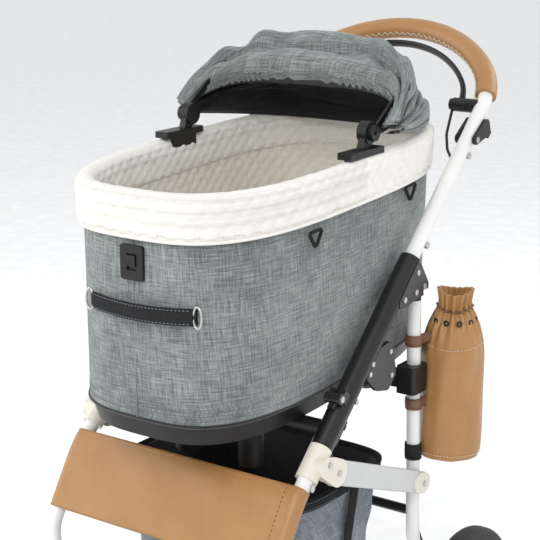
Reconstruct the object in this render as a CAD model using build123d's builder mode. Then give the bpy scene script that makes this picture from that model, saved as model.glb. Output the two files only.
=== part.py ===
from build123d import *
import os
from math import atan, cos, degrees, pi, radians, sin

os.makedirs("parts", exist_ok=True)

# Three-wheel pet stroller with a lift-off cot. Millimetres, +Z up, ground at z = 0,
# front towards -Y, the stroller's left side towards +X.

# ---- driving dimensions ----
TUBE_X = 203.0  # side frames stand at x = +-203
TUBE_R = 12.0
TUBE_BORE = 10.2
SLEEVE_R = 17.0
RAKE = 43.19  # lean of the push tubes from the horizontal
RAKE_Y, RAKE_Z = 4.5, 655.0  # a point on the push tubes' centre line
JOINT_S = -138.0  # place of the fold joint along the rake line
SLEEVE_TOP_S = 130.0
HINGE_OFF = 26.0  # fold pin stands this far in front of the tube's centre line
HINGE_R = 8.0
ARCH_S = 430.0  # where the handle's arch begins
GRIP_R = 17.4
TRIGGER_S = 367.0  # pivot of the fold triggers

REAR_AXLE_Y, REAR_AXLE_Z = 215.0, 132.0
REAR_R, REAR_W, REAR_X = 132.0, 48.0, 258.0
FRONT_AXLE_Y, FRONT_R, FRONT_W = -352.0, 100.0, 42.0
SWIVEL_Y = -382.0
HEAD_BOTTOM, HEAD_TOP = 236.0, 300.0

COT_BASE_Z, COT_RIM_Z = 584.0, 907.0
COT_BASE = (308.5, 170.5, 3.28, 0.06, -4.0)  # half length, half width, power, slope, centre y
COT_RIM = (315.0, 176.0, 3.16, 0.05, 0.0)

HOOD_Y, HOOD_Z = 26.0, 946.0  # hood hinge axis
LEG_TOP = (113.0, 700.0)
LEG_X = TUBE_X
LEG_R = 11.0

BOTTOM = (Align.CENTER, Align.CENTER, Align.MIN)
RUN = 0.05  # running clearance of a pin in its bore


def rake(s, off=0.0):
    """y, z of the point s along the push tube and off in front of its centre line."""
    a = radians(RAKE)
    return RAKE_Y + s * cos(a) - off * sin(a), RAKE_Z + s * sin(a) + off * cos(a)


def save(part, name):
    part.label = name
    export_step(part, f"parts/{name}.step")
    print(name, round(part.volume), "mm3")


def save_pair(part, name):
    """Writes a left piece and its mirror image on the right."""
    save(part, name + "_left")
    with BuildPart() as other:
        mirror(part, about=Plane.YZ)
    save(other.part, name + "_right")


def save_both(part, name):
    """Writes a piece and its mirror image as two solids of one node."""
    with BuildPart() as both:
        add(part)
        mirror(part, about=Plane.YZ)
    save(both.part, name)


def rod(start, end, radius, mode=Mode.ADD):
    """Round bar from start to end."""
    start, end = Vector(*start), Vector(*end)
    with Locations(Plane(origin=start, z_dir=end - start)):
        Cylinder(radius, (end - start).length, align=BOTTOM, mode=mode)


def pin(x0, x1, yz, radius, mode=Mode.ADD):
    """Round bar along x."""
    rod((x0, *yz), (x1, *yz), radius, mode)


def rake_rod(s0, s1, radius, off=0.0, x=TUBE_X, mode=Mode.ADD):
    """Round bar along the push tube's line."""
    rod((x, *rake(s0, off)), (x, *rake(s1, off)), radius, mode)


def hull_plate(x0, x1, circles, mode=Mode.ADD):
    """Plate across x whose outline wraps circles given as (y, z, radius)."""
    with BuildSketch(Plane.YZ.offset(x0)) as outline:
        for y, z, radius in circles:
            with Locations((y, z)):
                Circle(radius)
        make_hull()
    extrude(outline.sketch, amount=x1 - x0, mode=mode)


def bent_tube(points, radii, radius, bore=0.0):
    """Tube along straight runs joined by tangent arcs, and its centre line's length."""
    with BuildLine() as route:
        FilletPolyline(*points, radius=radii)
    path = route.wires()[0]
    with BuildSketch(Plane(origin=path @ 0, z_dir=path % 0)) as section:
        Circle(radius)
        if bore:
            Circle(bore, mode=Mode.SUBTRACT)
    sweep(section.sketch, path=path)
    return path.length


def arch_line(plane, half_span, rise, corner, trim=0.0):
    """Three-centred arch: two corner arcs joined by a flatter crown arc."""
    reach = half_span - corner
    low = rise - corner
    drop = (reach**2 - low**2) / (2 * low)
    turn = degrees(atan(drop / reach))
    with BuildLine(plane) as arch:
        CenterArc((reach, 0), corner, trim, turn - trim)
        CenterArc((0, -drop), rise + drop, turn, 180 - 2 * turn)
        CenterArc((-reach, 0), corner, 180 - turn, turn - trim)
    return arch.wires()[0]


def rake_box(s0, s1, off0, off1, x0, x1, mode=Mode.ADD):
    """Block with its sides along and across the push tube's line."""
    corners = [rake(s0, off0), rake(s1, off0), rake(s1, off1), rake(s0, off1)]
    with BuildSketch(Plane.YZ.offset(x0)) as outline:
        with BuildLine():
            Polyline(*corners, close=True)
        make_face()
    extrude(outline.sketch, amount=x1 - x0, mode=mode)


# ---- side frames, chassis side ----
HINGE = rake(JOINT_S, HINGE_OFF)
FRONT_TUBE = [
    (TUBE_X, *rake(-150)),
    (TUBE_X, *rake(-300)),
    (TUBE_X, -287, 335),
    (130, -338, 268),
    (26, -376, 262),
]
with BuildPart() as front_tube:
    bent_tube(FRONT_TUBE, [90, 60, 50], TUBE_R, TUBE_BORE)
save_both(front_tube.part, "front_tubes")

LOWER_END_S = -207.0
LATCH_OFF = -25.0
with BuildPart() as lower_sleeve:
    rake_rod(LOWER_END_S, JOINT_S, SLEEVE_R)
    rake_box(JOINT_S - 16, JOINT_S, 12, HINGE_OFF, TUBE_X - 4.7, TUBE_X + 4.7)
    pin(TUBE_X - 4.7, TUBE_X + 4.7, HINGE, HINGE_R)
    for s0, s1 in ((LOWER_END_S, LOWER_END_S + 5), (-153, -148)):
        rake_box(s0, s1, LATCH_OFF, -12, TUBE_X - 4, TUBE_X + 4)
        rake_rod(s0, s1, 6, LATCH_OFF)
    pin(TUBE_X - 5, TUBE_X + 5, HINGE, 3, Mode.SUBTRACT)
    rake_rod(LOWER_END_S - 1, JOINT_S + 1, TUBE_R, mode=Mode.SUBTRACT)
    rake_rod(LOWER_END_S - 1, JOINT_S + 1, 3, LATCH_OFF, mode=Mode.SUBTRACT)
save_both(lower_sleeve.part, "lower_sleeves")

with BuildPart() as frame_pins:
    pin(TUBE_X - 13.3, TUBE_X + 13.3, HINGE, 3)
    pin(TUBE_X - 15.3, TUBE_X - 13.3, HINGE, 5)
    pin(TUBE_X + 13.3, TUBE_X + 15.3, HINGE, 5)
    rake_rod(LOWER_END_S, -148, 3, LATCH_OFF)
    pin(LEG_X - 19.5, LEG_X + 19.5, LEG_TOP, 5)
save_both(frame_pins.part, "frame_pins")

with BuildPart() as latch:
    rake_rod(-190, -154, 5.5, LATCH_OFF)
    rake_rod(-160, -154, 7, LATCH_OFF)
    rake_rod(-191, -153, 3 + RUN, LATCH_OFF, mode=Mode.SUBTRACT)
save_pair(latch.part, "fold_latch")

# side bars, brackets and rear legs
BAR_FRONT, BAR_REAR = (-132.0, 474.0), (123.0, 372.0)
BAR_X0, BAR_X1 = 214.2, 222.6
with BuildPart() as side_bar:
    hull_plate(BAR_X0, BAR_X1, [(*BAR_FRONT, 19), (*BAR_REAR, 18)])
    outer = side_bar.faces().sort_by(Axis.X)[-1]
    fillet(outer.edges(), 2.5)
    for centre in (BAR_FRONT, BAR_REAR):
        pin(BAR_X0 - 1, BAR_X1 + 1, centre, 3, Mode.SUBTRACT)
save_both(side_bar.part, "side_bars")

BRACKET_S0, BRACKET_S1 = -262.0, -208.0
COLLAR = rake(-236, 0)
with BuildPart() as bracket:
    rake_rod(BRACKET_S0, BRACKET_S1, 17)
    hull_plate(208, BAR_X1 + 2.8, [(*COLLAR, 15), (*BAR_FRONT, 21)])
    rake_rod(BRACKET_S0 - 9, BRACKET_S1 + 9, TUBE_R, mode=Mode.SUBTRACT)
    hull_plate(200, BAR_X0, [(*BAR_FRONT, 24)], Mode.SUBTRACT)
    hull_plate(BAR_X0 - 0.01, BAR_X1, [(*BAR_FRONT, 19.2), (*BAR_REAR, 18.2)], Mode.SUBTRACT)
    pin(200, 231, BAR_FRONT, 3, Mode.SUBTRACT)
    hull_plate(BAR_X1, BAR_X1 + 2.8, [(*BAR_REAR, 17), (112, 376, 17)])
    pin(BAR_X1 - 1, BAR_X1 + 5, BAR_REAR, 3, Mode.SUBTRACT)
save_both(bracket.part, "bar_brackets")

LEG = [(LEG_X, 114, 676), (LEG_X, 128, 262), (LEG_X, 198, 158)]
with BuildPart() as leg:
    bent_tube(LEG, [110], LEG_R, LEG_R - 1.6)
save_both(leg.part, "rear_legs")

with BuildPart() as leg_head:
    pin(LEG_X - 12, LEG_X + 12, LEG_TOP, 13)
    rod((LEG_X, *LEG_TOP), (LEG_X, 114, 676), LEG_R)
    pin(LEG_X - 13, LEG_X + 13, LEG_TOP, 5, Mode.SUBTRACT)

BLOCK_Y, BLOCK_Z = 104.0, 549.0
with BuildPart() as leg_block:
    with Locations((LEG_X, 112, BLOCK_Z)):
        Box(34, 44, 44)
    fillet(leg_block.edges().filter_by(Axis.Z), 6)
    with Locations((LEG_X - 22, BLOCK_Y - 4, BLOCK_Z)):
        Box(20, 24, 24)
    add(leg.part, mode=Mode.SUBTRACT)
    rod((LEG_X, 114, 676), (LEG_X, 128, 262), LEG_R, Mode.SUBTRACT)
    pin(150, LEG_X - 20, (BLOCK_Y - 4, BLOCK_Z - 1.5), 11, Mode.SUBTRACT)
    add(leg_head.part)
    add(leg.part, mode=Mode.SUBTRACT)
save_both(leg_block.part, "leg_mouldings")

REST_REAR = (BLOCK_Y - 4, BLOCK_Z - 1.5)
with BuildPart() as rear_rest:
    pin(-(LEG_X - 20), LEG_X - 20, REST_REAR, 11)

REST_FRONT = (-123.0, 533.8)
with BuildPart() as front_rest:
    pin(-(TUBE_X - 10), TUBE_X - 10, REST_FRONT, 12)
    for x in (-60, 60):
        rod((x, REST_FRONT[0], 449), (x, REST_FRONT[0], 534), 20)
    for side in (-1, 1):
        rake_rod(LOWER_END_S, JOINT_S, SLEEVE_R, x=side * TUBE_X, mode=Mode.SUBTRACT)
save(front_rest.part, "front_cross_member")

AXLE = (REAR_AXLE_Y, REAR_AXLE_Z)
with BuildPart() as axle_clamp:
    hull_plate(LEG_X - 14, LEG_X + 13, [(*AXLE, 15), (196, 160, 15)])
    add(leg.part, mode=Mode.SUBTRACT)
    rod((LEG_X, 128, 262), (LEG_X, 198, 158), LEG_R, Mode.SUBTRACT)
    pin(LEG_X - 15, LEG_X + 20, AXLE, 6, Mode.SUBTRACT)
save_both(axle_clamp.part, "axle_clamps")

with BuildPart() as rear_beam:
    pin(-(LEG_X - 14), LEG_X - 14, AXLE, 11)
save(rear_beam.part, "rear_axle_beam")

with BuildPart() as rear_brace:
    brace = (130.0, 316.0)
    pin(-LEG_X, LEG_X, brace, 8)
    for side in (-1, 1):
        rod((side * LEG_X, 114, 676), (side * LEG_X, 128, 262), LEG_R, Mode.SUBTRACT)
    brace_piece = rear_brace.solids().sort_by(SortBy.VOLUME)[-1]
with BuildPart() as rear_cross_tubes:
    add(rear_rest.part)
    add(brace_piece)
save(rear_cross_tubes.part, "rear_cross_tubes")

# ---- steering head, fork and wheels ----
with BuildPart() as head:
    rod((0, SWIVEL_Y, HEAD_BOTTOM), (0, SWIVEL_Y, HEAD_TOP), 24)
    for side in (-1, 1):
        rod((side * 8, -369.5, 261), (side * 52, -366.5, 263.5), 15.5)
    for side in (-1, 1):
        rod((side * 26, -376, 262), (side * 130, -338, 268), TUBE_R, Mode.SUBTRACT)
    rod((0, SWIVEL_Y, HEAD_BOTTOM - 1), (0, SWIVEL_Y, HEAD_TOP + 1), 13, Mode.SUBTRACT)
save(head.part, "steering_head")

with BuildPart() as head_bushes:
    for z in (HEAD_BOTTOM, HEAD_TOP - 14):
        rod((0, SWIVEL_Y, z), (0, SWIVEL_Y, z + 14), 13)
    rod((0, SWIVEL_Y, HEAD_BOTTOM - 1), (0, SWIVEL_Y, HEAD_TOP + 1), 9 + RUN, Mode.SUBTRACT)
save(head_bushes.part, "steering_bushes")

FRONT_AXLE = (FRONT_AXLE_Y, FRONT_R)
FORK_X = 31.0
with BuildPart() as fork:
    hull_plate(-FORK_X - 7, FORK_X + 7, [(SWIVEL_Y - 6, 219, 12), (SWIVEL_Y + 18, 219, 12)])
    for x0 in (-FORK_X - 7, FORK_X):
        hull_plate(x0, x0 + 7, [(SWIVEL_Y, 218, 15), (*FRONT_AXLE, 13)])
    rod((0, SWIVEL_Y, 200), (0, SWIVEL_Y, 240), 9, Mode.SUBTRACT)
    pin(-50, 50, FRONT_AXLE, 5, Mode.SUBTRACT)
    fillet(fork.edges().filter_by(Axis.X), 2)
save(fork.part, "front_fork")

with BuildPart() as stem:
    rod((0, SWIVEL_Y, 207), (0, SWIVEL_Y, 308), 9)
    rod((0, SWIVEL_Y, 231), (0, SWIVEL_Y, 235.6), 16)
    rod((0, SWIVEL_Y, 300.4), (0, SWIVEL_Y, 309), 15)
    fillet(stem.faces().sort_by(Axis.Z)[-1].edges(), 3)
save(stem.part, "fork_stem")

with BuildPart() as front_axle:
    pin(-FORK_X - 7, FORK_X + 7, FRONT_AXLE, 5)
    for x0, x1 in ((-FORK_X - 12, -FORK_X - 7), (FORK_X + 7, FORK_X + 12)):
        pin(x0, x1, FRONT_AXLE, 9)
save(front_axle.part, "front_axle")


def ring(x0, x1, centre, outer, inner):
    """Round ring along x."""
    pin(x0, x1, centre, outer)
    pin(x0 - 1, x1 + 1, centre, inner, Mode.SUBTRACT)


def tyre_part(x, centre, radius, width, bead):
    """Balloon tyre: a rounded section turned about the axle."""
    with BuildPart() as tyre:
        with BuildSketch(Plane.XY) as section:
            with Locations((0, (radius + bead) / 2)):
                RectangleRounded(width, radius - bead, min(width, radius - bead) / 2 - 0.5)
            with Locations((0, bead + 2)):
                Rectangle(width * 0.62, 4)
        revolve(section.sketch, axis=Axis.X)
    place = Location((x, *centre))
    return tyre.part.moved(place)


def rim_part(x, centre, bead, width, hub_r, hub_w, spokes):
    """Moulded rim: a channel for the tyre, a hub with bearing seats and flat spokes."""
    rim_r = bead - 0.05
    with BuildPart() as rim:
        with BuildSketch(Plane.YZ.offset(-width / 2)) as barrel:
            Circle(rim_r)
            Circle(rim_r - 8, mode=Mode.SUBTRACT)
        extrude(barrel.sketch, amount=width)
        with BuildSketch(Plane.YZ.offset(-hub_w / 2)) as hub:
            Circle(hub_r)
        extrude(hub.sketch, amount=hub_w)
        with BuildSketch(Plane.YZ.offset(-7)) as spoke:
            with PolarLocations((rim_r - 4 + hub_r) / 2 - 1, spokes):
                Rectangle(rim_r - hub_r - 3, 16)
        extrude(spoke.sketch, amount=14)
        for x0, x1 in ((-hub_w / 2 - 1, -hub_w / 2 + 8), (hub_w / 2 - 8, hub_w / 2 + 1)):
            pin(x0, x1, (0, 0), hub_r - 5, Mode.SUBTRACT)
        pin(-hub_w, hub_w, (0, 0), hub_r - 8, Mode.SUBTRACT)
    place = Location((x, *centre))
    return rim.part.moved(place)


def bearing_part(x, centre, hub_r, hub_w, bore):
    """Two ball races in the hub's seats, each a plain ring here."""
    with BuildPart() as races:
        for x0, x1 in ((x - hub_w / 2, x - hub_w / 2 + 8), (x + hub_w / 2 - 8, x + hub_w / 2)):
            pin(x0, x1, centre, hub_r - 5 - RUN)
        pin(x - hub_w, x + hub_w, centre, bore, Mode.SUBTRACT)
    return races.part


FRONT_BEAD, REAR_BEAD = 66.0, 92.0
save(tyre_part(0, FRONT_AXLE, FRONT_R, FRONT_W, FRONT_BEAD), "front_tyre")
save(rim_part(0, FRONT_AXLE, FRONT_BEAD, 30, 17, 56, 5), "front_rim")
save(bearing_part(0, FRONT_AXLE, 17, 56, 5), "front_wheel_bearings")
HUB_R, HUB_W = 19.0, 42.0
save_pair(tyre_part(REAR_X, AXLE, REAR_R, REAR_W, REAR_BEAD), "rear_tyre")
save_pair(rim_part(REAR_X, AXLE, REAR_BEAD, 34, HUB_R, HUB_W, 6), "rear_rim")
save_both(bearing_part(REAR_X, AXLE, HUB_R, HUB_W, 6), "rear_wheel_bearings")

with BuildPart() as stub_axle:
    pin(LEG_X - 14, REAR_X + HUB_W / 2 - 4.5, AXLE, 6)
save_both(stub_axle.part, "stub_axles")

with BuildPart() as release_button:
    pin(REAR_X + HUB_W / 2 - 1.5, REAR_X + 27, AXLE, 5.5)
    fillet(release_button.faces().sort_by(Axis.X)[-1].edges(), 1.5)
save_pair(release_button.part, "wheel_release_button")

with BuildPart() as brake_plate:
    pin(LEG_X + 13, 232, AXLE, 36)
    pin(223, 233, AXLE, 31, Mode.SUBTRACT)
    pin(LEG_X, 233, AXLE, 6, Mode.SUBTRACT)
    hull_plate(LEG_X + 13, 223, [(215, 150, 8), (200, 176, 6)])
    pin(LEG_X, 233, AXLE, 6, Mode.SUBTRACT)
save_both(brake_plate.part, "brake_plates")

with BuildPart() as brake_shoes:
    ring(224, 231, AXLE, 29.5, 24)
    with Locations((227, *AXLE)):
        Box(20, 8, 80, mode=Mode.SUBTRACT)
save_both(brake_shoes.part, "brake_shoes")

# ---- upper frame ----
GUSSET = [(-34, 612, 12), (18, 622, 12), (28, 582, 11), (14, 569, 11), (-12, 573, 9), (-36, 594, 9)]
with BuildPart() as upper_sleeve:
    rake_rod(JOINT_S, SLEEVE_TOP_S, SLEEVE_R)
    for x0, x1 in ((TUBE_X - 13.3, TUBE_X - 5), (TUBE_X + 5, TUBE_X + 13.3)):
        rake_box(JOINT_S, JOINT_S + 16, 8, HINGE_OFF, x0, x1)
        pin(x0, x1, HINGE, HINGE_R)
    for x0, x1 in ((TUBE_X - 18, TUBE_X - 12.4), (TUBE_X + 12.4, TUBE_X + 18)):
        hull_plate(x0, x1, [(*rake(118, -6), 10), (*rake(54, -6), 9), (*LEG_TOP, 13)])
    for x0, x1 in ((TUBE_X - 13.6, TUBE_X - 7.4), (TUBE_X + 7.4, TUBE_X + 13.6)):
        hull_plate(x0, x1, GUSSET)
    pin(TUBE_X - 14, TUBE_X + 14, HINGE, 3 + RUN, Mode.SUBTRACT)
    # slot for the leg's head pin, open along the arc that the pin leaves by
    slot = [(*LEG_TOP, 5.4), (LEG_TOP[0] + 15.6, LEG_TOP[1] - 29.1, 10.2)]
    hull_plate(TUBE_X - 20, TUBE_X + 20, slot, Mode.SUBTRACT)
    hull_plate(TUBE_X - 12.6, TUBE_X + 12.6, [(*LEG_TOP, 14), (118, 640, 22)], Mode.SUBTRACT)
    rake_rod(JOINT_S - 1, SLEEVE_TOP_S + 1, TUBE_R, mode=Mode.SUBTRACT)
save_both(upper_sleeve.part, "upper_sleeves")

TRIGGER_AXIS = rake(TRIGGER_S)
with BuildPart() as push_tube:
    rake_rod(JOINT_S + 22, ARCH_S, TUBE_R)
    pin(TUBE_X - 20, TUBE_X + 20, TRIGGER_AXIS, 2.5, Mode.SUBTRACT)
    rake_rod(JOINT_S, ARCH_S + 1, TUBE_BORE, mode=Mode.SUBTRACT)

SPAN_X = TUBE_X
RAKE_NORMAL = (0, -sin(radians(RAKE)), cos(radians(RAKE)))
ARCH_PLANE = Plane(origin=(0, *rake(ARCH_S)), x_dir=(1, 0, 0), z_dir=RAKE_NORMAL)
HANDLE_RISE, HANDLE_CORNER = 160.0, 125.0
GRIP_TRIM = 12.0  # degrees of bare tube below the leather
core_line = arch_line(ARCH_PLANE, SPAN_X, HANDLE_RISE, HANDLE_CORNER)
with BuildPart() as handle_bow:
    with BuildSketch(Plane(origin=core_line @ 0, z_dir=core_line % 0)) as section:
        Circle(TUBE_R)
        Circle(TUBE_BORE, mode=Mode.SUBTRACT)
    sweep(section.sketch, path=core_line)
with BuildPart() as push_bar:
    add(push_tube.part)
    mirror(push_tube.part, about=Plane.YZ)
    add(handle_bow.part)
save(push_bar.part, "push_bar")

grip_line = arch_line(ARCH_PLANE, SPAN_X, HANDLE_RISE, HANDLE_CORNER, GRIP_TRIM)
with BuildPart() as grip:
    with BuildSketch(Plane(origin=grip_line @ 0, z_dir=grip_line % 0)) as section:
        Circle(GRIP_R)
        Circle(TUBE_R, mode=Mode.SUBTRACT)
    sweep(section.sketch, path=grip_line)
save(grip.part, "leather_grip")

# brake lever and its pivots
LEVER_S = 434.0
LEVER_AXIS = rake(LEVER_S)
LEVER_X = 163.0
with BuildPart() as lever:
    bow = arch_line(ARCH_PLANE, LEVER_X, 125, 88)
    with BuildSketch(Plane(origin=bow @ 0, x_dir=(1, 0, 0), z_dir=bow % 0)) as section:
        Ellipse(4.5, 7.5)
    sweep(section.sketch, path=bow)
    for side in (-1, 1):
        pin(side * 152, side * 179.6, LEVER_AXIS, 11.3)
    pin(-190, 190, LEVER_AXIS, 4 + RUN, Mode.SUBTRACT)
save(lever.part, "brake_lever")

with BuildPart() as lever_pivot:
    pin(180, 200, LEVER_AXIS, 11.3)
    pin(148, 181, LEVER_AXIS, 4)
    pin(146, 151.7, LEVER_AXIS, 9.5)
    add(push_bar.part, mode=Mode.SUBTRACT)
save_both(lever_pivot.part, "brake_lever_pivots")

# fold triggers, one squeeze paddle straddling each push tube
with BuildPart() as trigger:
    for x0, x1 in ((TUBE_X - 18, TUBE_X - 13), (TUBE_X + 13, TUBE_X + 18)):
        hull_plate(x0, x1, [(*rake(TRIGGER_S), 8), (*rake(404, -8), 10), (*rake(402, -20), 7)])
    rake_box(394, 407, -29, -24, TUBE_X - 18, TUBE_X + 18)
    pin(TUBE_X - 19, TUBE_X + 19, TRIGGER_AXIS, 2.5 + RUN, Mode.SUBTRACT)
save_pair(trigger.part, "fold_trigger")


# ---- fasteners: rivets and bolts whose heads stand on the outer faces ----
def button_head(x, yz, radius=4.5):
    """Low head on a face at x, facing outwards."""
    pin(x - 3, x + 2.4, yz, radius)


with BuildPart() as upper_fasteners:
    pin(TUBE_X - 20, TUBE_X + 20, TRIGGER_AXIS, 2.5)
    pin(TUBE_X + 18.3, TUBE_X + 20, TRIGGER_AXIS, 5)
    pin(TUBE_X - 20, TUBE_X - 18.3, TRIGGER_AXIS, 5)
    for centre in (rake(112, -7), rake(60, -6), rake(88, -26)):
        button_head(TUBE_X + 18, centre)
    for centre in ((24, 580), (20, 618)):
        button_head(TUBE_X + 13.6, centre, 4)
    for centre in (rake(-57, -5), rake(-72, -10)):
        button_head(TUBE_X + 15.5, centre, 4)
    button_head(TUBE_X + TUBE_R + 0.2, rake(339, -6), 5.5)
    button_head(TUBE_X + TUBE_R + 0.2, rake(163, -7), 5.5)
    button_head(TUBE_X + 14.5, rake(-120, -10), 4)
    add(upper_sleeve.part, mode=Mode.SUBTRACT)
    add(push_bar.part, mode=Mode.SUBTRACT)
save_both(upper_fasteners.part, "upper_fasteners")

with BuildPart() as chassis_fasteners:
    for centre in (BAR_FRONT, BAR_REAR):
        pin(BAR_X0, BAR_X1 + 2.8, centre, 3)
        button_head(BAR_X1 + 2.8, centre, 4.5)
    button_head(BAR_X1 + 2.8, rake(-228, -6), 4.5)
    button_head(TUBE_X + TUBE_R + 0.2, rake(-270, -4), 5.5)
    for piece in (bracket.part, front_tube.part, side_bar.part):
        add(piece, mode=Mode.SUBTRACT)
save_both(chassis_fasteners.part, "chassis_fasteners")

# ---- cot: fabric tub on a tray, liner, cuff and cushion ----
def cot_section(z, grow):
    """Superellipse face of the cot's wall at centre height z, grown outwards by grow."""
    f = (z - COT_BASE_Z) / (COT_RIM_Z - COT_BASE_Z)
    a, b, power, slope, centre = (p + f * (q - p) for p, q in zip(COT_BASE, COT_RIM))
    points = []
    for k in range(40):
        t = 2 * pi * k / 40
        c, d = cos(t), sin(t)
        x = (b + grow) * abs(c) ** (2 / power) * (1 if c >= 0 else -1)
        y = (a + grow) * abs(d) ** (2 / power) * (1 if d >= 0 else -1)
        points.append((x, y))
    tilt = atan(slope)
    plane = Plane(origin=(0, centre, z), x_dir=(1, 0, 0), z_dir=(0, -sin(tilt), cos(tilt)))
    with BuildSketch(plane) as face:
        with BuildLine():
            Spline(*points, periodic=True)
        make_face()
    return face.sketch


def tub(z0, z1, grow0, grow1=None, mode=Mode.ADD):
    """Solid between the cot's sections at two heights."""
    grow1 = grow0 if grow1 is None else grow1
    loft([cot_section(z0, grow0), cot_section(z1, grow1)], mode=mode)


WALL, LINER = 4.0, 6.0
FLOOR_Z = COT_BASE_Z + 6
with BuildPart() as cot_shell:
    tub(COT_BASE_Z, COT_RIM_Z, 0)
    tub(FLOOR_Z, COT_RIM_Z + 2, -WALL, mode=Mode.SUBTRACT)
save(cot_shell.part, "cot_shell")

with BuildPart() as cot_tray:
    tub(COT_BASE_Z - 30, COT_BASE_Z - 0.3, -9, -1)
save(cot_tray.part, "cot_tray")

with BuildPart() as cot_liner:
    tub(FLOOR_Z + 0.3, COT_RIM_Z, -WALL - 0.4)
    tub(FLOOR_Z + 4, COT_RIM_Z + 2, -WALL - LINER, mode=Mode.SUBTRACT)
save(cot_liner.part, "cot_liner")

with BuildPart() as cot_cushion:
    tub(FLOOR_Z + 4.4, FLOOR_Z + 34, -WALL - LINER - 2)
save(cot_cushion.part, "cot_cushion")

CUFF_DROP = 60.0
with BuildPart() as cot_cuff:
    tub(COT_RIM_Z - CUFF_DROP, COT_RIM_Z + 4, 5)
    tub(COT_RIM_Z - CUFF_DROP - 1, COT_RIM_Z + 0.3, 0.5, mode=Mode.SUBTRACT)
    tub(COT_RIM_Z - CUFF_DROP - 2, COT_RIM_Z + 6, -WALL - LINER, mode=Mode.SUBTRACT)
save(cot_cuff.part, "cot_cuff")

# front trim: buckle, carry strap, side tether loops
WALL_Y = -315.5
with BuildPart() as buckle_plate:
    with Locations((1, WALL_Y - 3, 795)):
        Box(40, 5, 50)
    fillet(buckle_plate.edges().filter_by(Axis.Y), 4)
    with Locations((1, WALL_Y - 4.5, 796)):
        Box(17, 4, 24, mode=Mode.SUBTRACT)
save(buckle_plate.part, "buckle_plate")

with BuildPart() as buckle_button:
    with Locations((1, WALL_Y - 5.1, 798)):
        Box(15.6, 4.6, 16)
    fillet(buckle_button.edges().filter_by(Axis.Y), 2)
save(buckle_button.part, "buckle_button")

with BuildPart() as carry_strap:
    with BuildSketch(Plane.XY.offset(716)) as strap_outline:
        with BuildLine():
            ThreePointArc((-80, -310.5), (12, -333), (101, -300.5))
            ThreePointArc((100, -297.6), (12, -329.8), (-79.5, -307.4))
            Line((-79.5, -307.4), (-80, -310.5))
            Line((100, -297.6), (101, -300.5))
        make_face()
    extrude(strap_outline.sketch, amount=26)
save(carry_strap.part, "carry_strap")

with BuildPart() as tether_loops:
    for y, z, x in ((-129, 818, 177.5), (136, 841, 177)):
        with BuildSketch(Plane.YZ.offset(x)) as loop_outline:
            with Locations((y, z)):
                Polygon((-20, 10), (20, 12), (0, -18), align=None)
                Polygon((-9, 5), (9, 6), (0, -8), align=None, mode=Mode.SUBTRACT)
        extrude(loop_outline.sketch, amount=3)
save_both(tether_loops.part, "tether_loops")

# ---- hood: clamps on the rim, two bows on one axis, folded fabric between them ----
HOOD = (HOOD_Y, HOOD_Z)
FOOT_Z = 914.2
CLAMP_X0, CLAMP_X1 = 158.0, 174.0
with BuildPart() as hood_clamp:
    with Locations((170, 4, FOOT_Z + 5)):
        Box(24, 92, 10)
    hull_plate(CLAMP_X0 + 3, CLAMP_X1 - 2, [(HOOD_Y - 12, FOOT_Z + 10, 8), (*HOOD, 13)])
    pin(CLAMP_X0, CLAMP_X1, HOOD, 17)
    with Locations((161.5, 4, FOOT_Z - 8)):
        Box(3.5, 60, 18)
    pin(CLAMP_X0 - 1, CLAMP_X1 + 1, HOOD, 3, Mode.SUBTRACT)
    pin(CLAMP_X0, 184.5, HOOD, 3)
save_both(hood_clamp.part, "hood_clamps")


def hood_plane(angle):
    """Plane through the hood's hinge axis, leaning back at angle above the horizontal."""
    a = radians(angle)
    return Plane(origin=(0, *HOOD), x_dir=(1, 0, 0), z_dir=(0, -sin(a), cos(a)))


def bow_part(x0, x1, angle, reach):
    """Flat hood bow with an eye at each end."""
    x = (x0 + x1) / 2
    with BuildPart() as bow:
        with BuildLine(hood_plane(angle)) as route:
            FilletPolyline((x, 10), (x, reach), (-x, reach), (-x, 10), radius=118)
        path = route.wires()[0]
        with BuildSketch(Plane(origin=path @ 0, x_dir=(1, 0, 0), z_dir=path % 0)) as section:
            Rectangle(x1 - x0, 10)
        sweep(section.sketch, path=path)
        for side in (-1, 1):
            pin(side * x0, side * x1, HOOD, 12)
        pin(-200, 200, HOOD, 3 + RUN, Mode.SUBTRACT)
    return bow.part


FRONT_BOW_ANGLE, MID_BOW_ANGLE = 34.0, 12.0
save(bow_part(174.3, 178.0, FRONT_BOW_ANGLE, 183), "hood_front_bow")
save(bow_part(178.3, 182.0, MID_BOW_ANGLE, 205), "hood_mid_bow")


def arch_face(angle, half, reach):
    """Arch with rounded shoulders, standing on the hood's hinge axis."""
    with BuildSketch(hood_plane(angle)) as face:
        with Locations((0, 20)):
            Rectangle(2 * half, reach - 20, align=(Align.CENTER, Align.MIN))
        fillet(face.vertices().sort_by(SortBy.DISTANCE)[-2:], 120)
    return face.sketch


def canopy_part(angle, turn, half, reach, wall):
    """Arched fabric shell turned about the hood's hinge axis."""
    with BuildPart() as canopy:
        axis = Axis((0, *HOOD), (1, 0, 0))
        revolve(arch_face(angle, half, reach), axis=axis, revolution_arc=turn)
        inner = arch_face(angle, half - wall, reach - wall)
        revolve(inner, axis=axis, revolution_arc=turn, mode=Mode.SUBTRACT)
    return canopy.part


save(canopy_part(MID_BOW_ANGLE + 6, 18, 186.4, 192, 4), "canopy_front")
save(canopy_part(-3, MID_BOW_ANGLE, 186.4, 252, 4), "canopy_rear")

# ---- basket between the side frames ----
def basket_face(z, half, front, rear):
    with BuildSketch(Plane.XY.offset(z)) as face:
        with Locations((0, (front + rear) / 2)):
            RectangleRounded(2 * half, rear - front, 28)
    return face.sketch


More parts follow.
